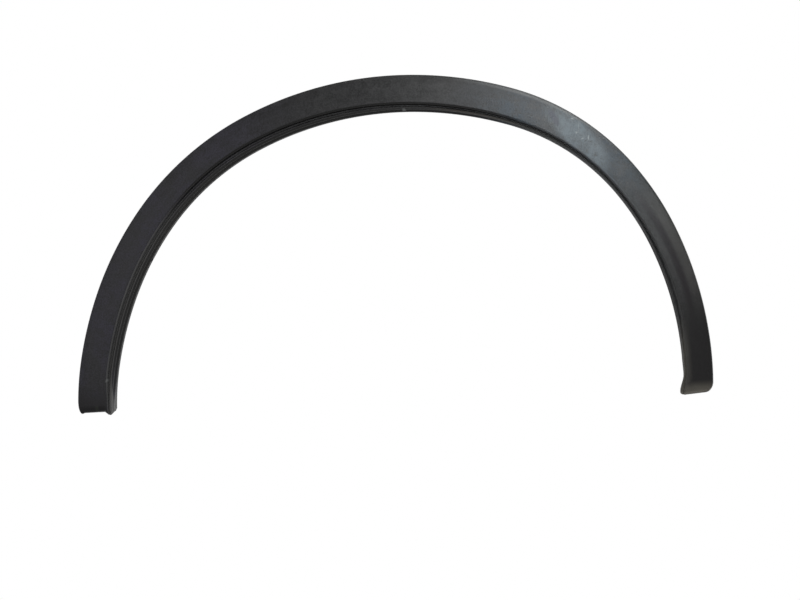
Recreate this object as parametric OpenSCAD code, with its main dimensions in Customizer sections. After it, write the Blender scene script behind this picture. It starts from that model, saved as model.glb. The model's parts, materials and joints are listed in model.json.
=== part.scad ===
// Wheel arch trim for a compact off-road style car, one injection moulding.
// It stands as on the vehicle: show face towards -Y, legs down, width along X, millimetres.

/* [Arch outline] */
// Radius of the outer edge on the left half of the crown
left_crown_r = 502; // [470:1:550]
// Radius of the outer edge on the left shoulder
left_shoulder_r = 401; // [380:1:425]
// Radius of the outer edge on the left haunch, below the shoulder
left_haunch_r = 446; // [420:1:470]
// Radius of the outer edge on the left leg
left_leg_r = 498; // [470:1:530]
// Radius of the outer edge at the left foot
left_foot_r = 380; // [340:1:420]
// Radius of the outer edge on the right half of the crown
right_crown_r = 530; // [495:1:570]
// Radius of the outer edge on the right shoulder
right_shoulder_r = 343; // [325:1:365]
// Radius of the outer edge on the right haunch
right_haunch_r = 407; // [385:1:430]
// Radius of the outer edge on the right leg
right_leg_r = 496; // [470:1:525]
// Radius of the outer edge at the right foot
right_foot_r = 430; // [390:1:470]
// Height of the crown above the left end
left_drop = 451.5; // [435:0.5:470]
// Height of the crown above the right end
right_drop = 439; // [425:0.5:460]
// How far the legs sweep back from the crown, as the body side curves in plan
plan_bow = 24; // [10:1:36]
// How far the crown and the feet lean back from mid height
side_bow = 6; // [0:1:12]

/* [Section] */
// Wall thickness of the moulding
wall = 2.4; // [2:0.1:2.6]
// Width of the show face at the left end
left_face_w = 41; // [38:0.5:46]
// Width of the show face at the left shoulder, its narrowest on that side
shoulder_face_w = 37.5; // [35:0.5:41]
// Width of the show face at the crown
crown_face_w = 39; // [36:0.5:43]
// Width of the show face at the right end
right_face_w = 31; // [29:0.5:36]
// Crowning of the show face, its middle above its edges
face_crown = 0.9; // [0.3:0.1:1.6]
// Depth of the outer rim that seats on the body panel
rim_depth = 8; // [7:0.5:11]
// Radius between the rim and the show face
rim_r = 2.8; // [2.7:0.1:3.4]
// Radius between the show face and the recess wall
edge_r = 2.8; // [2.7:0.1:3.4]
// Depth of the recessed shelf below the show face
recess_depth = 9.6; // [8.5:0.1:11]
// Width of the recessed shelf
shelf_w = 7.4; // [6.8:0.1:9]
// Radius in the recess corner
recess_r = 1.5; // [1:0.1:2]
// Radius between the shelf and the return flange
shelf_r = 2.8; // [2.7:0.1:3.4]
// Height of the ridge on the shelf
ridge_h = 1.7; // [0.8:0.1:2.2]
// Overall depth of the return flange
flange_depth = 34; // [30:0.5:42]
// Height of the lip bead on the return flange
lip_h = 2.4; // [1.5:0.1:3]
// Depth of the lip bead's crest behind the show face
lip_depth = 20; // [18:0.5:23]

/* [Ends] */
// Thickness of the wall that closes each end
end_wall = 2.4; // [2:0.1:3]
// Share of the channel's depth that each end wall closes
end_fill = 0.35; // [0.2:0.05:0.6]
// How far the show face rolls back at each end
roll_depth = 5; // [3:0.5:6]
// Length over which the show face rolls back at the left end
left_roll = 9; // [6:0.5:14]
// Length over which the show face rolls back at the right end
right_roll = 17; // [12:0.5:22]
// Length of the rounded outer corner at the left end
left_corner_l = 18; // [12:0.5:24]
// Width of the rounded outer corner at the left end
left_corner_w = 5; // [3:0.5:8]
// Length of the rounded outer corner at the right end
right_corner_l = 15; // [10:0.5:20]
// Width of the rounded outer corner at the right end
right_corner_w = 11.5; // [8:0.5:14]
// How far the rim runs on below the face at the left end
left_rim_drop = 1; // [0:0.25:2]
// How far the recess and lip run on below the face at the left end
left_lip_drop = 5; // [2:0.5:7]
// How far the lip flares inwards at the right end
right_flare = 5.5; // [0:0.5:7]
// How far the lip side of the right end hangs below its outer side
right_cut = 4; // [0:0.5:6]
// Radius of the rounded lip corner at the right end
right_lip_r = 4; // [2:0.5:7]
// How far the flange's back corner is cut away at each end
flange_corner = 6.5; // [3:0.5:9]

/* [Back side] */
// Angle between neighbouring stiffening ribs
rib_pitch = 11; // [9:0.5:14]
// Thickness of a stiffening rib
rib_t = 1.6; // [1.2:0.1:2.2]
// Share of the channel's depth that a rib fills
rib_fill = 0.5; // [0.3:0.05:0.7]
// Length of a clip tower along the arch
tower_l = 20; // [16:0.5:26]
// Width of a clip tower across the face
tower_w = 16; // [13:0.5:18]
// Wall thickness of a clip tower
tower_wall = 1.8; // [1.4:0.1:2.2]
// Width of the slot that a clip pushes into
clip_slot_w = 7; // [5:0.5:8]
// Length of the slot that a clip pushes into
clip_slot_l = 11; // [9:0.5:13]
// Radius of a screw hole in the return flange
flange_hole_r = 2.75; // [2:0.05:3.25]
// Distance between the two flange screw holes at the crown
flange_hole_pitch = 160; // [140:5:165]
// Distance of a flange screw hole from the flange's back edge
flange_hole_inset = 5.5; // [5:0.5:7]
// Outer radius of a foot screw boss
boss_r = 4.5; // [4:0.25:6]
// Radius of the pilot hole in a foot screw boss
boss_hole_r = 1.75; // [1.25:0.05:2.25]
// Distance of a foot screw boss from the outer edge
boss_inset = 22; // [19:0.5:24]
// Height of the foot screw bosses above the higher of the two ends
boss_height = 35; // [30:1:45]

/* [Hidden] */
left_radii = [left_crown_r, left_shoulder_r, left_haunch_r, left_leg_r, left_foot_r];
right_radii = [right_crown_r, right_shoulder_r, right_haunch_r, right_leg_r, right_foot_r];
// Headings, in degrees from level, at which each outline arc begins
left_turns = [0, 26, 55, 70, 81];
right_turns = [0, 17, 51, 65, 84];
// Heading of the left shoulder's narrow place, and the one past which both legs have their full width
shoulder_heading = 35;
full_heading = 84;
// Shares of the shelf's width at which the ridge starts and is full, and its height at the start
ridge_start = 0.42;
ridge_full = 0.55;
ridge_foot = 0.4;
// Half the depth that the lip's bead spans
bead_half = 4.2;
// Lengths over which the lip runs down to its drop, flares out, and loses its bead towards an end
drop_run = 30;
flare_run = 28;
bead_run = 50;
// Share of its bead that the lip keeps at the ends
bead_left = 0.3;
// Shares of the width that the dropped rim spans, and between which the lip's drop comes in
rim_share = 0.08;
drop_from = 0.83;
drop_to = 0.95;
// Least heading between the last rib and an end
rib_margin = 6;
// Length of the tools that cut the flange holes
hole_reach = 34;
// Distance under which two points count as one
tiny = 0.00001;
// Steps of the sweep between two ribs, and between the last rib and an end's roll
between_ribs = 3;
before_rolls = 3;
// Facets of a full circle
circle_facets = 48;

function mix(a, b, t) = a + (b - a) * t;
function smooth(t) = let (c = max(0, min(1, t))) c * c * (3 - 2 * c);
function last(list) = list[len(list) - 1];
function middle_of(list) = (min(list) + max(list)) / 2;

// Centre of one arc of a half outline, which is tangent to the arc before it
function arc_centre(radii, turns, side, i) =
    i == 0
        ? [0, -radii[0]]
        : let (before = arc_centre(radii, turns, side, i - 1), change = radii[i - 1] - radii[i])
          before + change * [side * sin(turns[i]), cos(turns[i])];

left_centres = [for (i = [0 : 4]) arc_centre(left_radii, left_turns, -1, i)];
right_centres = [for (i = [0 : 4]) arc_centre(right_radii, right_turns, 1, i)];
left_end = acos((-left_drop - last(left_centres)[1]) / left_foot_r);
right_end = acos((-right_drop - last(right_centres)[1]) / right_foot_r);

// Number of the arc that holds a heading, which is negative on the left half
function arc_of(heading) =
    let (turns = heading < 0 ? left_turns : right_turns)
    max([for (k = [0 : 4]) if (abs(heading) >= turns[k]) k]);

function radius_at(heading) = (heading < 0 ? left_radii : right_radii)[arc_of(heading)];

// Angle that a length along the outer edge turns through
function turned(length, heading) = length / radius_at(heading) * 180 / PI;

// Point of the outer edge at a heading, as [x, z] from the crown
function edge_point(heading) =
    (heading < 0 ? left_centres : right_centres)[arc_of(heading)]
    + radius_at(heading) * [sin(heading), cos(heading)];

// Distance along the leg from a heading to the end on its side
function to_end(heading) =
    heading < 0
        ? (left_end + heading) * left_foot_r * PI / 180
        : (right_end - heading) * right_foot_r * PI / 180;

// Width of the show face, which is full on each leg and narrow on the left shoulder
function face_w(heading) =
    let (past_shoulder = (-heading - shoulder_heading) / (full_heading - shoulder_heading))
    heading > 0 ? mix(crown_face_w, right_face_w, smooth(heading / full_heading))
    : past_shoulder < 0 ? mix(crown_face_w, shoulder_face_w, smooth(-heading / shoulder_heading))
    : mix(shoulder_face_w, left_face_w, smooth(past_shoulder));

// Points of a fillet, each as [u, v, normal u, normal v, bead height]
function fillet(centre, r, from, to, steps, facing = 1) =
    [for (i = [0 : steps])
        let (a = mix(from, to, i / steps), n = [cos(a), sin(a)])
        [centre[0] + r * n[0], centre[1] + r * n[1], facing * n[0], facing * n[1], 0]];

// Depth of the crowned show face at a distance from the outer edge
function face_at(u, w) = face_crown * pow(2 * u / w - 1, 2);

// Height of the lip's bead, which dies down towards each end
function bead_at(heading) = lip_h * mix(bead_left, 1, smooth(to_end(heading) / bead_run));

// Outer surface of the section for a face width and bead: u runs inwards from the outer edge, v back
function section(w, bead) =
    let (inner = w + shelf_w, edge_v = face_at(rim_r, w))
    concat(
        [[0, rim_depth, -1, 0, 0]],
        fillet([rim_r, edge_v + rim_r], rim_r, 180, 270, 2),
        [for (t = [0.25, 0.5, 0.75]) let (u = mix(rim_r, w - edge_r, t)) [u, face_at(u, w), 0, -1, 0]],
        fillet([w - edge_r, edge_v + edge_r], edge_r, 270, 360, 3),
        fillet([w + recess_r, recess_depth - recess_r], recess_r, 180, 90, 2, -1),
        [[w + shelf_w * ridge_start, recess_depth, 0, -1, ridge_h * ridge_foot],
         [w + shelf_w * ridge_full, recess_depth, 0, -1, ridge_h]],
        [for (p = fillet([inner - shelf_r, recess_depth + shelf_r], shelf_r, 270, 360, 3))
            [p[0], p[1], p[2], p[3], p[2] < 0.1 ? ridge_h : 0]],
        [for (t = [-1 : 0.5 : 1]) [inner, lip_depth + bead_half * t, 1, 0, bead * (1 - t * t)]],
        [[inner, flange_depth, 1, 0, 0]]
    );

SIDES = len(section(crown_face_w, lip_h));

// Depth of the open back at a distance from the outer edge
function back_at(u, w) = mix(rim_depth, flange_depth, u / (w + shelf_w));

// Quarter of an ellipse, from its height at the very end to nothing
function round_off(d, length, height) =
    d >= length ? 0 : height * (1 - sqrt(1 - pow((length - d) / length, 2)));

// How far a section point hangs below a square end, by its share of the width and its depth
function hang(inward, v, is_left) =
    let (
        deep = smooth((v - recess_depth - shelf_r) / (flange_depth - recess_depth - shelf_r)),
        from_lip = max(0, 1 - inward) * (right_face_w + shelf_w)
    )
    (is_left
        ? left_rim_drop * smooth(1 - inward / rim_share)
            + left_lip_drop * smooth((inward - drop_from) / (drop_to - drop_from))
        : right_cut * inward - round_off(from_lip, right_lip_r, right_lip_r))
    - flange_corner * deep;

// Place of a section point before the arch is bowed, near its end rolled, rounded and drawn out
function flat(p, heading, w) =
    let (
        d = to_end(heading),
        is_left = heading < 0,
        width = w + shelf_w,
        corner_l = is_left ? left_corner_l : right_corner_l,
        corner_w = is_left ? left_corner_w : right_corner_w,
        roll = round_off(d, is_left ? left_roll : right_roll, roll_depth),
        inset = round_off(d, corner_l, corner_w),
        inward = p[0] / width,
        flare = is_left ? 0 : right_flare * smooth(1 - d / flare_run) * pow(inward, 3),
        drop = hang(inward, p[1], is_left) * smooth(1 - d / drop_run),
        u = inset + p[0] * (1 - inset / width) + flare,
        v = p[1] + roll * (1 - p[1] / back_at(p[0], w)),
        at = edge_point(heading) - u * [sin(heading), cos(heading)]
            - (is_left ? 1 : -1) * drop * [cos(heading), -sin(heading)]
    )
    [at[0], v, at[1]];

// One closed ring of the moulding: its outer surface forwards, then its inner surface back.
// A fill of 1 closes the channel to its open back, and a rib fills a share of it.
function ring(heading, fill) =
    let (
        w = face_w(heading),
        outer = section(w, bead_at(heading)),
        inner = [for (p = outer) [p[0] - wall * p[2], p[1] - wall * p[3]]],
        filled = [for (i = [0 : SIDES - 1])
            mix(inner[i], mix(inner[0], last(inner), i / (SIDES - 1)), fill)],
        raised = [for (p = outer) [p[0] + p[4] * p[2], p[1] + p[4] * p[3]]]
    )
    [for (p = concat(raised, [for (i = [SIDES - 1 : -1 : 0]) filled[i]])) flat(p, heading, w)];

// Stations along the arch, each as [heading, fill], from the left end to the right end
left_rolls = [for (i = [1 : 4]) -left_end + turned(mix(end_wall, left_corner_l, i / 4), -left_end)];
right_rolls = [for (i = [5 : -1 : 1]) right_end - turned(mix(end_wall, right_roll, i / 5), right_end)];
rib_count = floor((min(left_end, right_end) - rib_margin) / rib_pitch);
ribs = [for (k = [-rib_count : rib_count]) k * rib_pitch];
function rib_stations(at) =
    let (half = turned(rib_t / 2, at))
    [[at - half, 0], [at - half, rib_fill], [at + half, rib_fill], [at + half, 0]];
function plain(headings) = [for (h = headings) [h, 0]];
stations = concat(
    [for (s = [0, 0.4, 1]) [-left_end + turned(end_wall * s, -left_end), end_fill]],
    plain([-left_end + turned(end_wall, -left_end)]),
    plain(left_rolls),
    plain([for (j = [1 : before_rolls - 1]) mix(last(left_rolls), ribs[0], j / before_rolls)]),
    [for (at = ribs)
        each concat(
            rib_stations(at),
            at < last(ribs) ? plain([for (j = [1 : between_ribs - 1]) at + j * rib_pitch / between_ribs]) : []
        )],
    plain([for (j = [1 : before_rolls - 1]) mix(last(ribs), right_rolls[0], j / before_rolls)]),
    plain(right_rolls),
    plain([right_end - turned(end_wall, right_end)]),
    [for (s = [1, 0.4, 0]) [right_end - turned(end_wall * s, right_end), end_fill]]
);

flat_rings = [for (s = stations) ring(s[0], s[1])];
flat_points = [for (r = flat_rings) each r];
all_x = [for (p = flat_points) p[0]];
all_z = [for (p = flat_points) p[2]];
mid_x = middle_of(all_x);
low_z = min(all_z);
half_w = (max(all_x) - min(all_x)) / 2;
half_h = -low_z / 2;

// How far back the bowed arch lies at a place measured from the middle of its foot line
function bow(x, z) = plan_bow * pow(x / half_w, 2) + side_bow * pow((z - half_h) / half_h, 2);
function bowed(p) =
    let (x = p[0] - mid_x, z = p[2] - low_z)
    [x, p[1] + bow(x, z), z];

bowed_points = [for (p = flat_points) bowed(p)];
mid_y = middle_of([for (p = bowed_points) p[1]]);
function placed(p) = bowed(p) - [0, mid_y, 0];

function apart(a, b) = norm(a - b) > tiny;

// The whole swept moulding with its end walls and ribs
module moulding() {
    loop = 2 * SIDES;
    skin = [for (k = [0 : len(flat_rings) - 2], j = [0 : loop - 1])
        let (a = k * loop + j, b = k * loop + (j + 1) % loop)
        each [[a, b + loop, b], [a, a + loop, b + loop]]];
    near_cap = [for (j = [0 : SIDES - 2])
        let (b = j + 1, c = loop - 2 - j)
        each [[j, b, c], [j, c, c + 1]]];
    far = (len(flat_rings) - 1) * loop;
    far_cap = [for (t = near_cap) [t[0] + far, t[2] + far, t[1] + far]];
    points = [for (p = flat_points) placed(p)];
    faces = [for (t = concat(skin, near_cap, far_cap))
        if (apart(points[t[0]], points[t[1]])
            && apart(points[t[1]], points[t[2]])
            && apart(points[t[2]], points[t[0]])) t];
    polyhedron(points, faces, convexity = 10);
}

// A block between two headings, two distances from the outer edge and two depths
module block(headings, us, vs) {
    corners = [for (h = headings, u = us, v = vs) placed(flat([u, v], h, face_w(h)))];
    sides = [[0, 1, 3, 2], [4, 6, 7, 5], [0, 4, 5, 1], [2, 3, 7, 6], [0, 2, 6, 4], [1, 5, 7, 3]];
    polyhedron(corners, [for (s = sides) each [[s[0], s[2], s[1]], [s[0], s[3], s[2]]]]);
}

// Middle of a clip tower, at a heading, on the back of the show face
function tower_u(heading) = face_w(heading) / 2;
function span(heading, length) = [for (s = [-0.5, 0.5]) heading + turned(s * length, heading)];

module tower_shell(heading) {
    u = tower_u(heading);
    block(span(heading, tower_l), [u - tower_w / 2, u + tower_w / 2], [wall / 2, rim_depth]);
}

// Room inside a tower, open towards the crown, and the slot in its top for the clip's neck
module tower_room(heading) {
    u = tower_u(heading);
    side = tower_w / 2 - tower_wall;
    shut = span(heading, tower_l - 2 * tower_wall);
    open = span(heading, tower_l + 2 * tower_wall);
    ends = heading < 0 ? [shut[0], open[1]] : [open[0], shut[1]];
    block(ends, [u - side, u + side], [wall + face_crown, rim_depth - tower_wall]);
    at = placed(flat([u, rim_depth], heading, face_w(heading)));
    translate(at) rotate([0, heading, 0]) clip_slot();
}

module clip_slot() {
    reach = (clip_slot_l - clip_slot_w) / 2;
    depth = 4 * tower_wall;
    for (x = [-reach, reach])
        translate([x, 0, 0]) rotate([90, 0, 0])
            cylinder(h = depth, r = clip_slot_w / 2, center = true, $fn = circle_facets);
    cube([2 * reach, depth, clip_slot_w], center = true);
}

// Headings of the clip towers and of the single flange screws, each midway between two ribs
tower_headings = [for (side = [-1, 1], k = [0 : 2 : rib_count - 1]) side * (k + 0.5) * rib_pitch];
screw_headings = [for (side = [-1, 1], k = [3 : 2 : rib_count - 1]) side * (k + 0.5) * rib_pitch];
screw_v = flange_depth - flange_hole_inset;

// Hole through the return flange, square to it
module flange_hole(heading) {
    w = face_w(heading);
    at = placed(flat([w + shelf_w - wall / 2, screw_v], heading, w));
    translate(at) rotate([0, heading, 0])
        cylinder(h = hole_reach / 2, r = flange_hole_r, center = true, $fn = circle_facets);
}

// The two upright holes either side of the crown, which take one bracket between them
module crown_holes() {
    crown = placed(flat([crown_face_w + shelf_w, screw_v], 0, crown_face_w));
    for (side = [-1, 1])
        translate(crown + [side * flange_hole_pitch / 2, 0, 0])
            cylinder(h = hole_reach, r = flange_hole_r, center = true, $fn = circle_facets);
}

// Heading at which one half of the outer edge passes a height measured from the crown
function heading_at(z, side) =
    let (
        centres = side < 0 ? left_centres : right_centres,
        radii = side < 0 ? left_radii : right_radii,
        turns = side < 0 ? left_turns : right_turns,
        k = max([for (i = [0 : 4]) if (centres[i][1] + radii[i] * cos(turns[i]) >= z) i])
    )
    side * acos((z - centres[k][1]) / radii[k]);

// Places of the foot screw bosses, level with each other, a set distance in from the outer edge
boss_z = boss_height - min(left_drop, right_drop);
foot_places = [for (side = [-1, 1])
    let (x = edge_point(heading_at(boss_z, side))[0] - side * boss_inset - mid_x, z = boss_z - low_z)
    [x, bow(x, z) - mid_y, z]];

module at_feet() {
    for (place = foot_places)
        translate(place) rotate([-90, 0, 0]) children();
}

module boss() {
    translate([0, 0, wall / 2]) cylinder(h = rim_depth - wall / 2, r = boss_r, $fn = circle_facets);
}

module boss_hole() {
    translate([0, 0, wall + face_crown]) cylinder(h = 2 * rim_depth, r = boss_hole_r, $fn = circle_facets);
}

module arch_trim() {
    color([0.16, 0.17, 0.18])
        difference() {
            union() {
                moulding();
                for (heading = tower_headings) tower_shell(heading);
                at_feet() boss();
            }
            for (heading = tower_headings) tower_room(heading);
            for (heading = screw_headings) flange_hole(heading);
            crown_holes();
            at_feet() boss_hole();
        }
}

arch_trim();
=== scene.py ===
import json
from math import acos, cos, hypot, pi, radians, sin
from types import SimpleNamespace

import bpy
import numpy as np
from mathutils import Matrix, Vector


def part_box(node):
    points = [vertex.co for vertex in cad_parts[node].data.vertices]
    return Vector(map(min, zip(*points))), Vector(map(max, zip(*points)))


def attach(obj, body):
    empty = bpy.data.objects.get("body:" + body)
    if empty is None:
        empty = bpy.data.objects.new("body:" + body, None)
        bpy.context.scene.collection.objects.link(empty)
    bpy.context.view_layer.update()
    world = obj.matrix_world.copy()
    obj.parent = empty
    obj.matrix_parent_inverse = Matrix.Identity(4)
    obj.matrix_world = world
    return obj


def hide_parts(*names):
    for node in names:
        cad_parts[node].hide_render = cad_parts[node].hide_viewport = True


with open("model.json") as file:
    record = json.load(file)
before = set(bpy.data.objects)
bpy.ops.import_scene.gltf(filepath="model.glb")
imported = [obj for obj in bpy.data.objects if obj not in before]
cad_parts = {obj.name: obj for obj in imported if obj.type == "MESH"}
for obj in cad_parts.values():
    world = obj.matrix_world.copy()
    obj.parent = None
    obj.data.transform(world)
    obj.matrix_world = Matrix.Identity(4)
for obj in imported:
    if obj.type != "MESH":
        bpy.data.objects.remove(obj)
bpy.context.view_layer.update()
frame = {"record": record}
trim_low, trim_high = (Vector(corner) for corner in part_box("arch_trim"))
bpy.context.scene.view_settings.view_transform = "Standard"

# Camera
# It stands to the right of the arch and looks slightly up at the show face, from far enough away for
# a flat perspective.
camera_azimuth = radians(11)
camera_elevation = radians(-7)
camera_distance = 5.0
picture_w_px = 800
metres_per_px = 0.0013559
camera_target = Vector((0.0134, 0.0, 0.1491))

camera_data = bpy.data.cameras.new("camera")
camera_data.lens = camera_data.sensor_width * camera_distance / (picture_w_px * metres_per_px)
camera = bpy.data.objects.new("camera", camera_data)
bpy.context.collection.objects.link(camera)
towards_camera = Vector((
    sin(camera_azimuth) * cos(camera_elevation),
    -cos(camera_azimuth) * cos(camera_elevation),
    sin(camera_elevation),
))
camera.location = camera_target + camera_distance * towards_camera
camera.rotation_euler = (-towards_camera).to_track_quat("-Z", "Y").to_euler()
bpy.context.scene.camera = camera

# Outline of the arch
# The outer edge is a run of tangent arcs on each side of the crown, flatter over the wheel and tighter
# at the shoulders. Headings are measured from level at the crown, negative to the left.
left_radii = [0.502, 0.401, 0.446, 0.498, 0.380]
right_radii = [0.530, 0.343, 0.407, 0.496, 0.430]
left_turns = [radians(turn) for turn in (0, 26, 55, 70, 81)]
right_turns = [radians(turn) for turn in (0, 17, 51, 65, 84)]
left_drop = 0.4515
right_drop = 0.439
plan_bow = 0.024
side_bow = 0.006


def half_outline(side, radii, turns):
    """Arcs of one half, each as the heading where it begins, its radius and its centre."""
    x, z = 0.0, -radii[0]
    arcs = [(0.0, radii[0], x, z)]
    for turn, before, after in zip(turns[1:], radii, radii[1:]):
        x += (before - after) * side * sin(turn)
        z += (before - after) * cos(turn)
        arcs.append((turn, after, x, z))
    return arcs


left_arcs = half_outline(-1, left_radii, left_turns)
right_arcs = half_outline(1, right_radii, right_turns)
_, left_foot_r, left_foot_x, left_foot_z = left_arcs[-1]
_, right_foot_r, right_foot_x, right_foot_z = right_arcs[-1]
left_end = acos((-left_drop - left_foot_z) / left_foot_r)
right_end = acos((-right_drop - right_foot_z) / right_foot_r)
middle_x = (left_foot_x - left_foot_r + right_foot_x + right_foot_r) / 2
crown_z = trim_high.z
half_width = (trim_high.x - trim_low.x) / 2

# Section of the moulding
# One wall follows the rim, the crowned show face, the recessed shelf with its ridge and the return
# flange with its lip, all in unpainted plastic. The end walls and ribs stand across the channel.
wall = 0.0024
crown_face_w = 0.039
face_crown = 0.0009
rim_depth = 0.008
rim_r = 0.0028
edge_r = 0.0028
recess_depth = 0.0096
shelf_w = 0.0074
recess_r = 0.0015
shelf_r = 0.0028
ridge_h = 0.0017
ridge_from, ridge_top, ridge_end = 0.3, 0.58, 0.74
flange_depth = 0.034
lip_h = 0.0024
lip_depth = 0.020
bead_half = 0.0042
end_wall = 0.0024
end_fill = 0.35
rib_pitch = radians(11)
rib_t = 0.0016
rib_fill = 0.5
rib_margin = radians(6)


def ease(t):
    t = min(1.0, max(0.0, t))
    return t * t * (3 - 2 * t)


def crowned(u, w):
    """Depth of the show face at a distance from the outer edge."""
    return face_crown * (2 * u / w - 1) ** 2


def section_point(on_width, u, v, normal_u, normal_v, raised=0.0, bead=0.0):
    """A point of the skin, a share of the face's width and a distance from the outer edge.

    The ridge is kept apart. The last two numbers say how far the point moves inwards where the face
    is broader, and how far it comes forward where the recess runs out.
    """
    skin = (u, on_width, v)
    under = (u - wall * normal_u, on_width, v - wall * normal_v)
    give = on_width * (1 - min(1.0, max(0.0, u / shelf_w)))
    into_recess = min(1.0, max(0.0, (v - edge_r - face_crown) / (recess_depth - recess_r - edge_r - face_crown)))
    lift = on_width * into_recess * min(1.0, (flange_depth - v) / (flange_depth - recess_depth - shelf_r))
    ridge_at = (raised * normal_u, 0.0, raised * normal_v)
    return {"skin": skin, "under": under, "raise": ridge_at, "bead": bead, "give": give, "lift": lift}


def fillet(on_width, u, v, r, start, stop, steps, facing=1):
    """An arc of the section about a centre, with the ridge on it where it carries one."""
    for step in range(steps + 1):
        angle = radians(start + (stop - start) * step / steps)
        turn_u, turn_v = cos(angle), sin(angle)
        at_u = u + r * turn_u
        raised = ridge(at_u) if on_width and facing > 0 and v > recess_depth else 0.0
        yield section_point(on_width, at_u, v + r * turn_v, facing * turn_u, facing * turn_v, raised)


def ridge(u):
    """Height of the ridge at a distance from the show face's inner edge."""
    share = u / shelf_w
    rise = ease((share - ridge_from) / (ridge_top - ridge_from))
    return ridge_h * rise * ease((ridge_end + (ridge_end - ridge_top) - share) / (2 * (ridge_end - ridge_top)))


def section_points():
    """The skin from the rim's back edge round to the flange's back edge."""
    edge_v = crowned(rim_r, crown_face_w)
    yield from (section_point(0, 0, rim_depth + (edge_v + rim_r - rim_depth) * t, -1, 0) for t in (0, 0.5))
    yield from fillet(0, rim_r, edge_v + rim_r, rim_r, 180, 270, 8)
    face_steps = 16
    for step in range(1, face_steps):
        t = step / face_steps
        u = rim_r + (crown_face_w - edge_r - rim_r) * t
        yield section_point(t, rim_r * (1 - t) - edge_r * t, crowned(u, crown_face_w), 0, -1)
    yield from fillet(1, -edge_r, edge_v + edge_r, edge_r, 270, 360, 9)
    yield section_point(1, 0, (edge_v + edge_r + recess_depth - recess_r) / 2, 1, 0)
    yield from fillet(1, recess_r, recess_depth - recess_r, recess_r, 180, 90, 5, -1)
    shelf_steps = 10
    for step in range(1, shelf_steps):
        u = recess_r + (shelf_w - shelf_r - recess_r) * step / shelf_steps
        yield section_point(1, u, recess_depth, 0, -1, ridge(u))
    yield from fillet(1, shelf_w - shelf_r, recess_depth + shelf_r, shelf_r, 270, 360, 10)
    bead_steps = 12
    for step in range(bead_steps + 1):
        t = 2 * step / bead_steps - 1
        yield section_point(1, shelf_w, lip_depth + bead_half * t, 1, 0, bead=1 - t * t)
    flange_from = lip_depth + bead_half
    for t in (1 / 3, 2 / 3, 1):
        yield section_point(1, shelf_w, flange_from + (flange_depth - flange_from) * t, 1, 0)


def section_rows():
    """The closed section: its skin forwards and its inner side back, with the open back for both."""
    points = list(section_points())
    unders = [np.array(point["under"]) for point in points]
    across_face = np.array((crown_face_w, 0))
    steps = [hypot(*(b - a)[[0, 2]] + (b - a)[1] * across_face) for a, b in zip(unders, unders[1:])]
    shares = np.concatenate(([0], np.cumsum(steps))) / sum(steps)
    for point, share in zip(points, shares):
        point["open_back"] = tuple(unders[0] + (unders[-1] - unders[0]) * share)
    loop = [dict(point, inside=0.0) for point in points]
    loop += [dict(point, inside=1.0) for point in reversed(points)]
    return loop + loop[:1]


def station(heading, fill=0.0, pinch=0.0):
    return {"heading": heading, "fill": fill, "pinch": pinch}


def station_rows():
    """Places along the arch from the left end to the right end, closer together where an end rounds off."""
    end_steps, end_zone = 14, 0.018
    zone = [end_zone * (1 - cos(pi / 2 * step / end_steps)) for step in range(1, end_steps + 1)]
    ends = sorted(zone + [end_wall])
    rib_count = int((min(left_end, right_end) - rib_margin) / rib_pitch)
    ribs = [k * rib_pitch for k in range(-rib_count, rib_count + 1)]
    between_ribs, past_ribs = 16, 18

    rows = [station(-left_end, end_fill, 1.0), station(-left_end, end_fill)]
    for distance in ends:
        heading = -left_end + distance / left_foot_r
        rows.append(station(heading, end_fill if distance <= end_wall else 0.0))
        if distance == end_wall:
            rows.append(station(heading))
    last = rows[-1]["heading"]
    rows += [station(last + (ribs[0] - last) * step / past_ribs) for step in range(1, past_ribs)]
    for rib in ribs:
        half = rib_t / 2 / radius_of(rib)
        rows += [station(rib - half), station(rib - half, rib_fill)]
        rows += [station(rib + half, rib_fill), station(rib + half)]
        if rib != ribs[-1]:
            rows += [station(rib + rib_pitch * step / between_ribs) for step in range(1, between_ribs)]
    first = right_end - ends[-1] / right_foot_r
    rows += [station(ribs[-1] + (first - ribs[-1]) * step / past_ribs) for step in range(1, past_ribs)]
    for distance in reversed(ends):
        heading = right_end - distance / right_foot_r
        if distance == end_wall:
            rows.append(station(heading))
        rows.append(station(heading, end_fill if distance <= end_wall else 0.0))
    return rows + [station(right_end, end_fill), station(right_end, end_fill, 1.0)]


def radius_of(heading):
    arcs = left_arcs if heading < 0 else right_arcs
    return [radius for turn, radius, _, _ in arcs if abs(heading) >= turn][-1]


def points_with(name, rows):
    """Loose points that carry named numbers, which the node tree reads by their index."""
    mesh = bpy.data.meshes.new(name)
    mesh.vertices.add(len(rows))
    for field, first in rows[0].items():
        is_vector = isinstance(first, tuple)
        attribute = mesh.attributes.new(field, "FLOAT_VECTOR" if is_vector else "FLOAT", "POINT")
        values = np.array([row[field] for row in rows], dtype=np.float32).ravel()
        attribute.data.foreach_set("vector" if is_vector else "value", values)
    made = bpy.data.objects.new(name, mesh)
    bpy.context.collection.objects.link(made)
    return made


section_loop = section_rows()
stations = station_rows()
section_points_object = points_with("section", section_loop)
stations_object = points_with("stations", stations)


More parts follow.
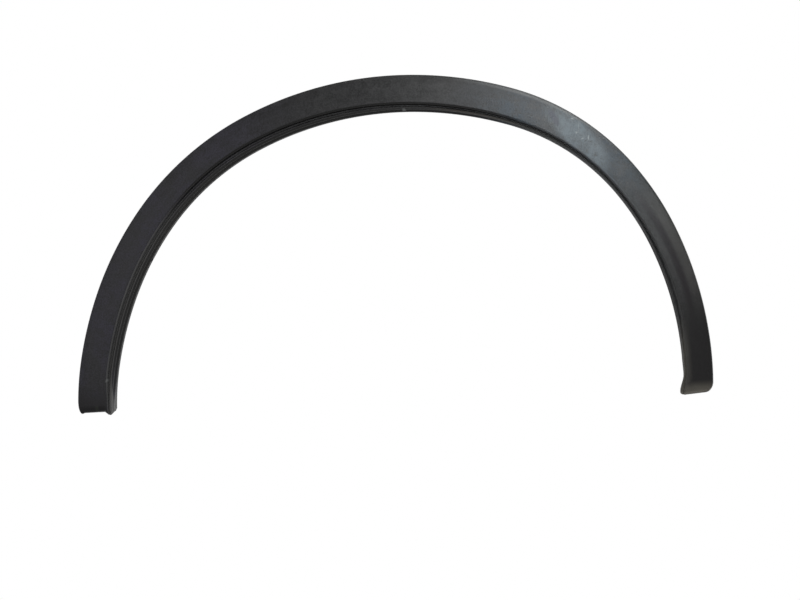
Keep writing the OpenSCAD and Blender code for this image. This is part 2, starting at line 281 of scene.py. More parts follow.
# The moulding's node trees
# They sweep the section along the stations, round and roll the ends and bow the arch to the car's side,
# then add the clip towers and screw bosses and cut every hole, so the trim stays one solid wall.
class Link:
    """A socket of a node tree. Arithmetic on it adds Math nodes, and node() adds any other node."""

    def __init__(self, tree, socket=None):
        self.tree = tree
        self.socket = socket

    def node(self, kind, settings=None, inputs=None, output=0):
        """Adds a node, makes its settings, feeds its sockets and returns one of its outputs, or several."""
        made = self.tree.nodes.new(kind)
        for name, value in (settings or {}).items():
            setattr(made, name, value)
        for name, values in (inputs or {}).items():
            for value in values if isinstance(values, list) else [values]:
                if isinstance(value, Link):
                    self.tree.links.new(value.socket, made.inputs[name])
                else:
                    made.inputs[name].default_value = value
        if isinstance(output, range):
            return [Link(self.tree, made.outputs[one]) for one in output]
        return Link(self.tree, made.outputs[output] if made.outputs else None)

    def math(self, operation, *others):
        return self.node("ShaderNodeMath", {"operation": operation}, dict(enumerate((self, *others))))

    def __add__(self, other):
        return self.math("ADD", other)

    __radd__ = __add__

    def __sub__(self, other):
        return self.math("SUBTRACT", other)

    def __rsub__(self, other):
        return self.math("MULTIPLY_ADD", -1.0, other)

    def __mul__(self, other):
        return self.math("MULTIPLY", other)

    __rmul__ = __mul__

    def __truediv__(self, other):
        return self.math("DIVIDE", other)

    def __pow__(self, other):
        return self.math("POWER", other)

    def __lt__(self, other):
        return self.math("LESS_THAN", other)

    def __gt__(self, other):
        return self.math("GREATER_THAN", other)

    def held(self):
        """The value, kept between 0 and 1."""
        return self.math("MAXIMUM", 0.0).math("MINIMUM", 1.0)


def start_tree(name, numbers, outputs=(), others=(), result="NodeSocketFloat"):
    """A node tree with its named sizes going in, each at its usual value, and its outputs."""
    made = bpy.data.node_groups.new(name, "GeometryNodeTree")
    for kind, label in others:
        made.interface.new_socket(label, in_out="INPUT", socket_type=kind)
    for label, value in numbers.items():
        made.interface.new_socket(label, in_out="INPUT", socket_type="NodeSocketFloat").default_value = value
    for label in outputs:
        made.interface.new_socket(label, in_out="OUTPUT", socket_type=result)
    given = made.nodes.new("NodeGroupInput")
    return Link(made), SimpleNamespace(**{socket.name: Link(made, socket) for socket in given.outputs if socket.name})


def end_tree(tree, results):
    leaving = tree.tree.nodes.new("NodeGroupOutput")
    for label, value in results.items():
        tree.tree.links.new(value.socket, leaving.inputs[label])


def mix(a, b, t):
    return a + (b - a) * t


def smooth(t):
    """Eases from 0 to 1 as a link goes from 0 to 1, and holds at both ends."""
    held = t.held()
    return held * held * (3 - 2 * held)


def round_off(distance, length, height):
    """Quarter of an ellipse, from its height at the very end to nothing."""
    short = ((length - distance) / length).held()
    return height * (1 - (1 - short * short).math("SQRT"))


# Outer edge: the place on it and its radius there, from the arc that holds the heading.
edge_tree, given = start_tree("outer_edge", {"heading": 0.0}, ("x", "z", "radius"))
on_left = given.heading < 0.0
halves = []
for side, arcs in ((-1, left_arcs), (1, right_arcs)):
    values = arcs[0][1:]
    for before, arc in zip(arcs, arcs[1:]):
        past = given.heading * side > arc[0]
        values = [value + past * (new - old) for value, new, old in zip(values, arc[1:], before[1:])]
    halves.append(values)
radius, x, z = (mix(right, left, on_left) for left, right in zip(*halves))
x = x + radius * given.heading.math("SINE")
z = z + radius * given.heading.math("COSINE")
end_tree(edge_tree, {"x": x, "z": z, "radius": radius})

# Face width: full on each leg and narrow on the left shoulder.
shoulder_heading = radians(35)
full_heading = radians(84)
face_sizes = {
    "heading": 0.0,
    "left_face_w": 0.041,
    "shoulder_face_w": 0.0375,
    "crown_face_w": crown_face_w,
    "right_face_w": 0.031,
}
width_tree, given = start_tree("face_width", face_sizes, ("width",))
to_shoulder = given.heading * -1 / shoulder_heading
past_shoulder = (to_shoulder - 1) * shoulder_heading / (full_heading - shoulder_heading)
left = mix(given.crown_face_w, given.shoulder_face_w, smooth(to_shoulder))
left = left + (given.left_face_w - given.shoulder_face_w) * smooth(past_shoulder)
right = mix(given.crown_face_w, given.right_face_w, smooth(given.heading / full_heading))
end_tree(width_tree, {"width": mix(right, left, given.heading < 0.0)})


def bow(x, z):
    """How far back the arch lies at a place, as the car's side curves away."""
    return plan_bow * (x / half_width) ** 2.0 + side_bow * (z / (crown_z / 2) - 1) ** 2.0


# Place on the arch: a heading, a distance inwards from the outer edge and a depth become a point, with
# the ends rolled back, rounded at their corners, drawn out at the lip and cut away at the back.
rim_share = 0.08
drop_from, drop_to = 0.78, 0.90
drop_run = 0.030
flare_run = 0.028
end_sizes = {
    "heading": 0.0,
    "inwards": 0.0,
    "depth": 0.0,
    "roll_depth": 0.005,
    "left_roll": 0.009,
    "right_roll": 0.017,
    "left_corner_l": 0.018,
    "left_corner_w": 0.005,
    "right_corner_l": 0.015,
    "right_corner_w": 0.0115,
    "left_rim_drop": 0.001,
    "left_lip_drop": 0.005,
    "right_flare": 0.0055,
    "right_cut": 0.004,
    "right_lip_r": 0.004,
    "left_lip_r": 0.0052,
    "flange_corner": 0.0065,
}
place_tree, size = start_tree("place_on_arch", end_sizes, ("x", "y", "z", "width", "to_end"))
heading = size.heading
on_left = heading < 0.0
edge_x, edge_z, _ = place_tree.node(
    "GeometryNodeGroup", {"node_tree": edge_tree.tree}, {"heading": heading}, range(3)
)
face = place_tree.node("GeometryNodeGroup", {"node_tree": width_tree.tree}, {"heading": heading})
width = face + shelf_w
inward = size.inwards / width
end = mix((right_end - heading) * right_foot_r, (left_end + heading) * left_foot_r, on_left)
roll = round_off(end, mix(size.right_roll, size.left_roll, on_left), size.roll_depth)
corner_l = mix(size.right_corner_l, size.left_corner_l, on_left)
corner_w = mix(size.right_corner_w, size.left_corner_w, on_left)
inset = round_off(end, corner_l, corner_w)
flare = (1 - on_left) * size.right_flare * smooth(1 - end / flare_run) * inward.math("MAXIMUM", 0.0) ** 3.0
back_from = recess_depth + shelf_r
deep = smooth((size.depth - back_from) / (flange_depth - back_from))
from_lip = (1 - inward).math("MAXIMUM", 0.0) * (face_sizes["right_face_w"] + shelf_w)
left_hang = size.left_rim_drop * smooth(1 - inward / rim_share)
left_hang = left_hang + size.left_lip_drop * smooth((inward - drop_from) / (drop_to - drop_from))
left_hang = left_hang - round_off(from_lip, size.left_lip_r, size.left_lip_r)
right_hang = size.right_cut * inward - round_off(from_lip, size.right_lip_r, size.right_lip_r)
drop = (mix(right_hang, left_hang, on_left) - size.flange_corner * deep) * smooth(1 - end / drop_run)
along = drop * (1 - 2 * on_left)
inwards = inset + size.inwards * (1 - inset / width) + flare
back = rim_depth + (flange_depth - rim_depth) * inward
rolled = size.depth + roll * (1 - size.depth / back)
turn_x, turn_z = heading.math("SINE"), heading.math("COSINE")
x = edge_x - inwards * turn_x + along * turn_z - middle_x
z = edge_z - inwards * turn_z - along * turn_x + crown_z
end_tree(place_tree, {"x": x, "y": rolled + bow(x, z), "z": z, "width": face, "to_end": end})

# The moulding itself
bead_run = 0.050
bead_left = 0.3
haunch_from, haunch_full, haunch_past, haunch_to = (radians(turn) for turn in (-25, 30, 52, 78))
left_foot_from, left_foot_to, right_foot_from, right_foot_to = (radians(turn) for turn in (-83, -91, 76, 86))
moulding_sizes = {
    "lip_h": lip_h,
    "haunch_broad": 0.0029,
    "ridge_fade": 0.6,
    "foot_broad": 0.0035,
    "foot_lift": 0.0055,
    "tower_l": 0.020,
    "tower_w": 0.016,
    "tower_wall": 0.0018,
    "clip_slot_w": 0.007,
    "clip_slot_l": 0.011,
    "flange_hole_inset": 0.0055,
    "boss_r": 0.0045,
    "merge": 0.000004,
}
tables = (("NodeSocketObject", "Section"), ("NodeSocketObject", "Stations"), ("NodeSocketMaterial", "Plastic"))
tree, size = start_tree("arch_trim_moulding", moulding_sizes, ("Moulding",), tables, "NodeSocketGeometry")


def number_of(name, data_type="FLOAT"):
    """The field of a named attribute."""
    return tree.node("GeometryNodeInputNamedAttribute", {"data_type": data_type}, {"Name": name})


def parts_of(vector):
    return tree.node("ShaderNodeSeparateXYZ", None, {0: vector}, range(3))


def vector_of(x, y, z):
    return tree.node("ShaderNodeCombineXYZ", None, {0: x, 1: y, 2: z})


def set_position(geometry, position):
    return tree.node("GeometryNodeSetPosition", None, {"Geometry": geometry, "Position": position})


def shifted(geometry, offset):
    return tree.node("GeometryNodeSetPosition", None, {"Geometry": geometry, "Offset": offset})


def placed(heading, inwards, depth):
    """Place on the arch, and the face's width and the distance to the end there."""
    asked = {"heading": heading, "inwards": inwards, "depth": depth}
    return tree.node("GeometryNodeGroup", {"node_tree": place_tree.tree}, asked, range(5))


def swept_wall():
    """The whole wall with its end walls and ribs, as one closed skin."""
    loop = len(section_loop)
    grid = {"Size X": 1.0, "Size Y": 1.0, "Vertices X": len(stations), "Vertices Y": loop}
    sheet = tree.node("GeometryNodeMeshGrid", None, grid)
    index = tree.node("GeometryNodeInputIndex")
    row = ((index + 0.5) / loop).math("FLOOR")
    column = index - row * loop

    def read(table, name, at, data_type="FLOAT"):
        points = tree.node("GeometryNodeObjectInfo", None, {"Object": table}, 4)
        asked = {"Geometry": points, "Value": number_of(name, data_type), "Index": at}
        return tree.node("GeometryNodeSampleIndex", {"data_type": data_type}, asked)

    heading, fill, pinch = (read(size.Stations, name, row) for name in ("heading", "fill", "pinch"))
    inside, bead, give, lift = (read(size.Section, name, column) for name in ("inside", "bead", "give", "lift"))
    skin, under, open_back, ridge_at = (
        parts_of(read(size.Section, name, column, "FLOAT_VECTOR")) for name in ("skin", "under", "open_back", "raise")
    )
    within = inside.math("MAXIMUM", pinch)
    onto_haunch = smooth((heading - haunch_from) / (haunch_full - haunch_from))
    ridge_left = 1 - onto_haunch * size.ridge_fade
    skin = [at + lift * ridge_left for at, lift in zip(skin, ridge_at)]
    flat, on_width, depth = (mix(a, mix(b, c, fill), within) for a, b, c in zip(skin, under, open_back))
    *_, face, end = placed(heading, 0.0, 0.0)
    bead_height = size.lip_h * mix(bead_left, 1, smooth(end / bead_run))
    broader = size.haunch_broad * onto_haunch * (1 - smooth((heading - haunch_past) / (haunch_to - haunch_past)))
    onto_left_foot = smooth((heading - left_foot_from) / (left_foot_to - left_foot_from))
    onto_right_foot = smooth((heading - right_foot_from) / (right_foot_to - right_foot_from))
    onto_foot = onto_left_foot + onto_right_foot
    broader = broader + size.foot_broad * onto_foot
    depth = depth - size.foot_lift * onto_foot * lift
    inwards = flat + on_width * face + give * broader + bead * bead_height * (1 - within)
    lie = vector_of(heading * mean_radius, inwards - face - broader, depth)
    marked = tree.node(
        "GeometryNodeStoreNamedAttribute", {"data_type": "FLOAT_VECTOR"},
        {"Geometry": sheet, "Name": "lie", "Value": lie},
    )
    bent = set_position(marked, vector_of(*placed(heading, inwards, depth)[:3]))
    closed = tree.node("GeometryNodeMergeByDistance", None, {"Geometry": bent, "Distance": size.merge})
    return tree.node("GeometryNodeFlipFaces", None, {"Mesh": closed})


mean_radius = 0.44
towers_per_side = 4
gaps_apart = 2
first_single_screw = 3


def headed_points(count_per_side, first):
    """A point for every other gap between two ribs on both sides, with its heading."""
    line = tree.node("GeometryNodeMeshLine", None, {"Count": 2 * count_per_side, "Offset": (0.0, 0.0, 0.0)})
    index = tree.node("GeometryNodeInputIndex")
    on_right = index > count_per_side - 0.5
    step = index - on_right * count_per_side
    heading = (2 * on_right - 1) * (step * gaps_apart + (first + 0.5)) * rib_pitch
    return tree.node("GeometryNodeStoreNamedAttribute", None, {"Geometry": line, "Name": "heading", "Value": heading})


def at_points(points, shape):
    put = tree.node("GeometryNodeInstanceOnPoints", None, {"Points": points, "Instance": shape})
    return tree.node("GeometryNodeRealizeInstances", None, {"Geometry": put})


def blocks(points, towards_crown, away, across, near, far):
    """A block at each point, from a length towards the crown to one away from it, and between two depths."""
    made = at_points(points, tree.node("GeometryNodeMeshCube", None, {"Size": (1.0, 1.0, 1.0), "Vertices X": 3}))
    x, y, z = parts_of(tree.node("GeometryNodeInputPosition"))
    heading = number_of("heading")
    side = heading.math("SIGN")
    radius = tree.node("GeometryNodeGroup", {"node_tree": edge_tree.tree}, {"heading": heading}, 2)
    turned = heading + side * mix(-1 * towards_crown, away, x + 0.5) / radius
    face = tree.node("GeometryNodeGroup", {"node_tree": width_tree.tree}, {"heading": turned})
    return set_position(made, vector_of(*placed(turned, face / 2 + y * side * across, mix(near, far, z + 0.5))[:3]))


def turned_about(points, shape, on_face, inwards, depth):
    """A shape at each point, set at a share of the face, a distance and a depth, square to the arch there."""
    made = at_points(points, shape)
    heading = number_of("heading")
    x, y, z = parts_of(tree.node("GeometryNodeInputPosition"))
    face = tree.node("GeometryNodeGroup", {"node_tree": width_tree.tree}, {"heading": heading})
    at_x, at_y, at_z = placed(heading, face * on_face + inwards, depth)[:3]
    turn_x, turn_z = heading.math("SINE"), heading.math("COSINE")
    return set_position(made, vector_of(at_x + x * turn_z + z * turn_x, at_y + y, at_z - x * turn_x + z * turn_z))


def rod(radius, depth):
    return tree.node("GeometryNodeMeshCylinder", None, {"Vertices": 48, "Radius": radius, "Depth": depth})


def along_y(shape):
    """Turns a rod that stands up so that it points back."""
    x, y, z = parts_of(tree.node("GeometryNodeInputPosition"))
    return set_position(shape, vector_of(x, z, -1 * y))


def long_rod(radius, depth, reach):
    """A rod that points back, drawn out to both sides."""
    x, _, _ = parts_of(tree.node("GeometryNodeInputPosition"))
    side = x.math("SIGN") * (x.math("ABSOLUTE") > size.merge)
    return shifted(along_y(rod(radius, depth)), vector_of(side * reach, 0.0, 0.0))


def mount_places(mount):
    """The two places of a mount, level on either side of its middle."""
    middle = Vector(mount["pos_m"])
    reach = Vector((mount["dims"]["spacing_x_mm"] / 2000, 0, 0))
    return middle - reach, middle + reach


mounts = {mount["name"]: mount for mount in frame["record"]["mounts"]}
feet, crown = mounts["foot_screw_bosses"], mounts["crown_flange_screws"]
pilot_r = feet["dims"]["hole_r_mm"] / 1000
hole_r = crown["dims"]["hole_r_mm"] / 1000
hole_reach = 0.034
boss_depth = rim_depth - wall / 2
towers = headed_points(towers_per_side, 0)
half_tower = size.tower_l / 2
shells = blocks(towers, half_tower, half_tower, size.tower_w, wall / 2, rim_depth)
past_tower = 0.001
rooms = blocks(
    towers, half_tower + past_tower, half_tower - size.tower_wall, size.tower_w - size.tower_wall * 2,
    wall + face_crown, rim_depth - size.tower_wall,
)
reach = (size.clip_slot_l - size.clip_slot_w) / 2
slots = turned_about(towers, long_rod(size.clip_slot_w / 2, size.tower_wall * 4, reach), 0.5, 0.0, rim_depth)
bosses, pilots = [], []
for at in mount_places(feet):
    seat = bow(at.x, at.z) + wall / 2 + boss_depth / 2
    bosses.append(shifted(along_y(rod(size.boss_r, boss_depth)), (at.x, seat, at.z)))
    pilot = bow(at.x, at.z) + wall + face_crown + rim_depth
    pilots.append(shifted(along_y(rod(pilot_r, 2 * rim_depth)), (at.x, pilot, at.z)))
screw_v = flange_depth - size.flange_hole_inset
single_places = headed_points(2, first_single_screw)
singles = turned_about(single_places, rod(hole_r, hole_reach / 2), 1.0, shelf_w - wall / 2, screw_v)
_, crown_y, crown_back_z = placed(0.0, crown_face_w + shelf_w, screw_v)[:3]
pair = [
    shifted(rod(hole_r, hole_reach), vector_of(at.x, crown_y, crown_back_z)) for at in mount_places(crown)
]
joined = tree.node(
    "GeometryNodeMeshBoolean", {"operation": "UNION", "solver": "MANIFOLD"},
    {"Mesh 2": [swept_wall(), shells, *bosses]},
)
cut = tree.node(
    "GeometryNodeMeshBoolean", {"operation": "DIFFERENCE", "solver": "MANIFOLD"},
    {"Mesh 1": joined, "Mesh 2": [rooms, slots, singles, *pilots, *pair]},
)
whole = tree.node("GeometryNodeRealizeInstances", None, {"Geometry": cut})
coated = tree.node("GeometryNodeSetMaterial", None, {"Geometry": whole, "Material": size.Plastic})
end_tree(tree, {"Moulding": coated})

# The plastic
# Polypropylene coloured black right through and moulded against a lightly textured tool, satin with a
# fine grain. Use has left it mottled and streaked lengthwise and scuffed over the right shoulder. Over
# that colour lies painted light: reflection tints, a painted highlight over the right shoulder, painted
# highlights along its edges and on the left foot's bulb, painted warm bounce light at the right foot, a
# painted pale light in the left leg's recess, and painted shade in the right leg's recess, along the
# lower inner edges, down the right leg and over the left foot.
plastic = bpy.data.materials.new("arch_plastic")
plastic.use_nodes = True
plastic.node_tree.nodes.clear()
shade = Link(plastic.node_tree)
place = shade.node("ShaderNodeTexCoord", None, None, 3)
lie = shade.node("ShaderNodeAttribute", {"attribute_name": "lie"}, None, 1)
along, off_edge, _ = shade.node("ShaderNodeSeparateXYZ", None, {0: lie}, range(3))


def noise(vector, scale, detail=2.0, roughness=0.5):
    """Even noise from 0 to 1 about a half."""
    sizes = {"Vector": vector, "Scale": scale, "Detail": detail, "Roughness": roughness}
    return shade.node("ShaderNodeTexNoise", None, sizes)


def blend(a, b, factor):
    """One colour turning into another."""
    return shade.node("ShaderNodeMix", {"data_type": "RGBA"}, {0: factor, 6: a, 7: b}, 2)


def from_to(value, start, stop):
    """Eases from 0 at one value to 1 at another."""
    return smooth((value - start) / (stop - start))


def band(value, low, high, soft):
    """1 between two values, with soft edges."""
    return from_to(value, low - soft, low + soft) * from_to(value, high + soft, high - soft)


def spot(at_along, at_off, length, width, turn=0.0):
    """A soft oval on the moulding, about a place along it and off the face's inner edge."""
    ahead, out = along - at_along, off_edge - at_off
    c, s = cos(radians(turn)), sin(radians(turn))
    return smooth(1 - ((ahead * c + out * s) / length) ** 2.0 - ((out * c - ahead * s) / width) ** 2.0)


black = (0.0052, 0.0052, 0.0055, 1.0)
worn_black = (0.0215, 0.0215, 0.0220, 1.0)
violet_reflection_tone = (0.0320, 0.0290, 0.0480, 1.0)
blue_reflection_tone = (0.0200, 0.0300, 0.0400, 1.0)
warm_pale_tone = (0.0500, 0.0480, 0.0460, 1.0)
grey_pale_tone = (0.0400, 0.0400, 0.0410, 1.0)
brown_streak = (0.0060, 0.0040, 0.0055, 1.0)
painted_shade_black = (0.0030, 0.0026, 0.0030, 1.0)
shoulder_highlight_grey = (0.0700, 0.0860, 0.0960, 1.0)
reflection_wedge_blue = (0.0140, 0.0160, 0.0260, 1.0)
warm_bounce_light = (0.0720, 0.0690, 0.0600, 1.0)
recess_light_grey = (0.0760, 0.0750, 0.0730, 1.0)
recess_shade_black = (0.0015, 0.0015, 0.0016, 1.0)
edge_highlight_grey = (0.0780, 0.0790, 0.0790, 1.0)
edge_shade_black = (0.0030, 0.0030, 0.0030, 1.0)
ridge_highlight_brown = (0.0480, 0.0400, 0.0330, 1.0)
scuff_grey = (0.2400, 0.2500, 0.2500, 1.0)
mark_black = (0.0040, 0.0040, 0.0045, 1.0)
stain_green = (0.0170, 0.0200, 0.0150, 1.0)
bulb_highlight_grey = (0.1150, 0.1150, 0.1130, 1.0)

mottle = noise(place, 70.0, 5.0, 0.7)
speckle = noise(place, 480.0, 2.0, 0.7)
grain = noise(place, 1100.0, 2.0, 0.6)
patches = noise(place, 16.0, 3.0, 0.6)
lengthwise = shade.node("ShaderNodeCombineXYZ", None, {0: along * 9.0, 1: off_edge * 150.0, 2: 0.0})
streaks = noise(lengthwise, 1.0, 3.0, 0.6)
uneven = (0.5 + (mottle - 0.5) * 1.9 + (speckle - 0.5) * 2.2 + (streaks - 0.5) * 1.0).held()
cloudy = (0.5 + (mottle - 0.5) * 2.5 + (speckle - 0.5) * 1.2).held()

# The mottled plastic, with a painted reflection tint in violet on the left and in blue over the right shoulder
violet = from_to(along, -0.10, -0.30) * from_to(patches, 0.25, 0.62) * 0.75
blue = band(along, 0.10, 0.42, 0.06) * from_to(patches, 0.20, 0.60) * 0.8
light_tone = blend(worn_black, violet_reflection_tone, violet)
light_tone = blend(light_tone, blue_reflection_tone, blue)
colour = blend(black, light_tone, uneven)

# Paler and darker bands, painted light and shade, and marks, from the broad ones to the small ones
face_side = from_to(off_edge, 0.0, -0.004)
# Paler bands over the outer part of the right shoulder and right leg and along the right leg's inner edge, and a
# darker band down the middle of the right leg's face.
outer_pale_band = band(along, 0.02, 0.20, 0.06) * from_to(off_edge, -0.012, -0.036) * 0.12
outer_pale_band = outer_pale_band + band(along, 0.44, 0.585, 0.04) * from_to(off_edge, -0.015, -0.024) * 0.60
colour = blend(colour, warm_pale_tone, outer_pale_band * (0.6 + 0.8 * mottle))
inner_pale_band = band(along, 0.46, 0.56, 0.04) * band(off_edge, -0.0105, -0.001, 0.003) * 0.40
colour = blend(colour, grey_pale_tone, inner_pale_band * (0.4 + 1.2 * mottle))
dark_streak = band(along, 0.43, 0.62, 0.05) * band(off_edge, -0.0185, -0.0115, 0.003)
colour = blend(colour, brown_streak, dark_streak * (0.5 + streaks))
# Painted shade: the face is darkened down the lower right leg and over the left foot.
right_leg_shade = from_to(along, 0.56, 0.63) * from_to(off_edge, -0.002, -0.006)
left_foot_shade = from_to(along, -0.655, -0.70) * face_side
colour = blend(colour, painted_shade_black, (right_leg_shade * 0.85 + left_foot_shade * 0.9) * (0.75 + 0.5 * mottle))

# Painted highlight: a pale, cool, mottled patch over the right shoulder where the lamps reflect, with a darker blue
# patch painted into that reflection.
shoulder_highlight = spot(0.238, -0.027, 0.055, 0.024, 12) + spot(0.298, -0.013, 0.075, 0.024, 8) * 1.2
shoulder_highlight = shoulder_highlight.held() * from_to(cloudy, -0.20, 1.05) * face_side
colour = blend(colour, shoulder_highlight_grey, shoulder_highlight * 0.85)
reflection_wedge = spot(0.221, -0.0225, 0.022, 0.0060, 24)
colour = blend(colour, reflection_wedge_blue, reflection_wedge * 0.8)

# Painted warm bounce light: the right foot's rolled-back end, and the face, recess and lip just above it, are paled
# warm.
foot_bounce_light = from_to(along, 0.690, 0.702) * (0.45 + 0.45 * mottle)
inner_bounce_light = from_to(off_edge, -0.0100, -0.0030) * 0.28 + band(off_edge, -0.0008, 0.0036, 0.0008) * 0.5
inner_bounce_light = inner_bounce_light * from_to(along, 0.595, 0.66)
colour = blend(colour, warm_bounce_light, foot_bounce_light.math("MAXIMUM", inner_bounce_light))
# Painted light: the left leg's recess is paled as if lit from the right, more so towards the foot.
down_left = mix(from_to(along, -0.10, -0.26) * 0.5, 1.4, from_to(along, -0.30, -0.48))
left_recess_light = band(off_edge, 0.0002, 0.0050, 0.0007) * down_left
colour = blend(colour, recess_light_grey, left_recess_light * (0.55 + 0.6 * mottle))
# Painted shade: the recess along the right shoulder and leg is darkened where the face's edge shades it.
right_recess_shade = band(off_edge, 0.0003, 0.0042, 0.0006) * band(along, 0.04, 0.54, 0.04)
colour = blend(colour, recess_shade_black, right_recess_shade)
# Painted highlights: pale lines along the face's inner edge on the left leg and right shoulder, and along the outer
# rim and the lip over the right shoulder.
left_edge_highlight = band(off_edge, -0.0014, 0.0002, 0.0005) * from_to(along, -0.34, -0.46) * 0.75
right_edge_highlight = band(off_edge, -0.0030, -0.0006, 0.0007) * band(along, 0.20, 0.46, 0.05) * 0.25
rim_highlight = from_to(off_edge, -0.0335, -0.0370) * band(along, 0.10, 0.42, 0.06) * 0.7
lip_highlight = from_to(off_edge, 0.0042, 0.0058) * band(along, 0.16, 0.46, 0.05) * 0.7
edge_highlights = left_edge_highlight + right_edge_highlight + rim_highlight + lip_highlight
colour = blend(colour, edge_highlight_grey, edge_highlights * (0.4 + 1.2 * streaks))
# Painted shade along the lip's inner edge from the left leg to the crown, and along the face's inner edge over the
# left shoulder and crown.
edge_shade = from_to(off_edge, 0.0048, 0.0058) * band(along, -0.64, 0.12, 0.04)
edge_shade = edge_shade.math("MAXIMUM", band(off_edge, -0.0026, 0.0003, 0.0006) * band(along, -0.36, 0.14, 0.05))
colour = blend(colour, edge_shade_black, edge_shade)
# Painted highlight, warm, along the ridge's crest just right of the crown.
ridge_highlight = band(off_edge, 0.0036, 0.0052, 0.0005) * band(along, 0.05, 0.17, 0.03)
colour = blend(colour, ridge_highlight_brown, ridge_highlight * 0.45)

scuff_places = [
    (0.2500, -0.0330, 0.0045, 0.0016, -20, 1.0),
    (0.2710, -0.0197, 0.0022, 0.0020, 0, 1.0),
    (0.2942, -0.0232, 0.0050, 0.0016, 35, 1.0),
    (0.2865, -0.0174, 0.0030, 0.0014, -40, 1.0),
    (0.2676, -0.0280, 0.0120, 0.0010, 50, 0.5),
    (-0.6542, -0.0004, 0.0050, 0.0020, 25, 0.7),
    (0.0038, 0.0064, 0.0030, 0.0016, 0, 0.8),
]
scuffs = 0.0
for *at, strength in scuff_places:
    scuffs = spot(*at) * strength + scuffs
colour = blend(colour, scuff_grey, (scuffs * (0.35 + 0.9 * speckle)).held() * 0.6)
marks = spot(0.2935, -0.0172, 0.0014, 0.0034, 15) + spot(-0.6039, -0.0350, 0.0030, 0.0020)
colour = blend(colour, mark_black, marks.held() * 0.8)
colour = blend(colour, stain_green, spot(-0.7031, -0.0173, 0.0060, 0.0035, 10) * 0.6)
# Painted highlight on the bulb of the lip at the left foot.
colour = blend(colour, bulb_highlight_grey, spot(-0.7125, 0.0050, 0.0075, 0.0050) * 0.75)

sheen = 0.45 + (mottle - 0.5) * 0.24 + (streaks - 0.5) * 0.10 + (speckle - 0.5) * 0.16 + scuffs * 0.15
fine_bump = shade.node("ShaderNodeBump", None, {"Strength": 0.45, "Distance": 0.0003, "Height": grain + speckle * 0.8})
skin_shader = shade.node(
    "ShaderNodeBsdfPrincipled", None,
    {"Base Color": colour, "Roughness": sheen, "Normal": fine_bump, "Specular IOR Level": 0.2},
)
shade.node("ShaderNodeOutputMaterial", None, {"Surface": skin_shader})

# Making the trim
# The tree is worked out once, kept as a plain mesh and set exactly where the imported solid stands.
maker = bpy.data.objects.new("maker", bpy.data.meshes.new("maker"))
bpy.context.collection.objects.link(maker)
modifier = maker.modifiers.new("moulding", "NODES")
modifier.node_group = tree.tree
inputs = {"Section": section_points_object, "Stations": stations_object, "Plastic": plastic, **moulding_sizes}
for item in tree.tree.interface.items_tree:
    if item.in_out == "INPUT":
        modifier[item.identifier] = inputs[item.name]
bpy.context.view_layer.update()
evaluated = maker.evaluated_get(bpy.context.evaluated_depsgraph_get())
trim_mesh = bpy.data.meshes.new_from_object(evaluated)
trim_mesh.name = "arch_trim_moulding"
for helper in (maker, section_points_object, stations_object):
    bpy.data.objects.remove(helper)

corners = np.empty(3 * len(trim_mesh.vertices), dtype=np.float32)
trim_mesh.vertices.foreach_get("co", corners)
corners = corners.reshape(-1, 3)
corners[:, 1] += trim_low.y - corners[:, 1].min()
corners = np.clip(corners, np.array(trim_low), np.array(trim_high))
trim_mesh.vertices.foreach_set("co", corners.ravel())
trim_mesh.shade_smooth()
trim_mesh.set_sharp_from_angle(angle=radians(32))
trim_mesh.update()
trim = bpy.data.objects.new("arch_trim_moulding", trim_mesh)
bpy.context.collection.objects.link(trim)
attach(trim, "root")
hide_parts("arch_trim")

# Light and floor
# A pale floor well below the hung trim, clear from beneath and fading into a white surround, and four
# soft lamps, of which the key and the shoulder lamp stand near and light the right shoulder most.
white = (1.0, 1.0, 1.0, 1.0)


def seen_directly(into):
    """1 for a ray from the camera, a mirror or glass, which shows the surround, and 0 for one that lights."""
    kinds = ("Is Camera Ray", "Is Glossy Ray", "Is Transmission Ray")
    camera_ray, glossy, through = (into.node("ShaderNodeLightPath", None, None, kind) for kind in kinds)
    return camera_ray.math("MAXIMUM", glossy).math("MAXIMUM", through)


world = bpy.data.worlds.new("studio")
bpy.context.scene.world = world
world.use_nodes = True
world.node_tree.nodes.clear()
around = Link(world.node_tree)
background = around.node(
    "ShaderNodeBackground", None, {"Color": white, "Strength": mix(0.5, 1.0, seen_directly(around))}
)
around.node("ShaderNodeOutputWorld", None, {"Surface": background})

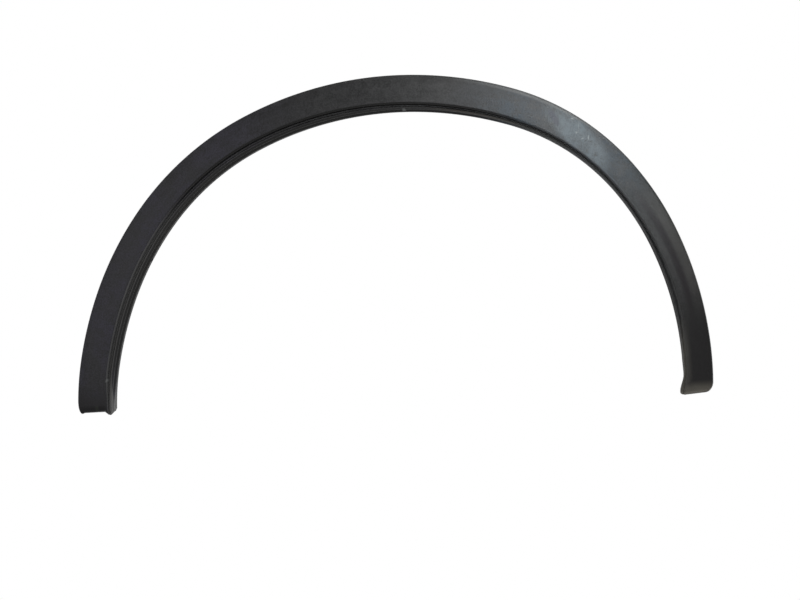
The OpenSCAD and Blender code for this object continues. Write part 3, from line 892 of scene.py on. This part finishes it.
floor_mesh = bpy.data.meshes.new("floor")
floor_reach, floor_z = 6.0, -0.75
floor_mesh.from_pydata(
    [(x * floor_reach, y * floor_reach, floor_z) for x, y in ((-1, -1), (1, -1), (1, 1), (-1, 1))],
    [], [(0, 1, 2, 3)],
)
floor = bpy.data.objects.new("floor", floor_mesh)
bpy.context.collection.objects.link(floor)
floor_paint = bpy.data.materials.new("floor_paint")
floor_paint.use_nodes = True
floor_paint.node_tree.nodes.clear()
paint = Link(floor_paint.node_tree)
plain = paint.node("ShaderNodeBsdfDiffuse", None, {"Color": (0.9, 0.9, 0.9, 1.0)})
glow = paint.node("ShaderNodeEmission", None, {"Color": white, "Strength": 1.0})
from_middle = paint.node("ShaderNodeTexCoord", None, None, 3)
middle_gap = paint.node("ShaderNodeVectorMath", {"operation": "LENGTH"}, {0: from_middle}, 1)
into_white = seen_directly(paint) * mix(0.55, 1.0, smooth((middle_gap - 1.2) / 2.2))
lit = paint.node("ShaderNodeMixShader", None, {0: into_white, 1: plain, 2: glow})
from_below = paint.node("ShaderNodeNewGeometry", None, None, "Backfacing")
lit = paint.node("ShaderNodeMixShader", None, {0: from_below, 1: lit, 2: paint.node("ShaderNodeBsdfTransparent")})
paint.node("ShaderNodeOutputMaterial", None, {"Surface": lit})
floor_mesh.materials.append(floor_paint)


def soft_lamp(name, place, aim, size, power, colour, spread=180):
    data = bpy.data.lights.new(name, "AREA")
    data.size, data.energy, data.color, data.spread = size, power, colour, radians(spread)
    lamp = bpy.data.objects.new(name, data)
    bpy.context.collection.objects.link(lamp)
    lamp.location = place
    lamp.rotation_euler = (Vector(aim) - Vector(place)).to_track_quat("-Z", "Y").to_euler()
    lamp.visible_camera = False
    return lamp


soft_lamp("key", (0.26, -0.60, 0.50), (0.178, 0.0, 0.385), 0.24, 0.86, (0.98, 1.0, 1.0), 70)
soft_lamp("shoulder", (0.345, -0.27, 0.345), (0.275, 0.0, 0.372), 0.12, 0.08, (0.60, 0.90, 1.0))
soft_lamp("foot_bounce", (0.50, -0.20, -0.50), (0.42, 0.0, 0.02), 0.3, 2.1, (1.0, 0.93, 0.84))
soft_lamp("left_side", (-0.75, -1.0, 0.35), (-0.35, 0.0, 0.25), 0.5, 2.0, (0.97, 0.95, 1.0))
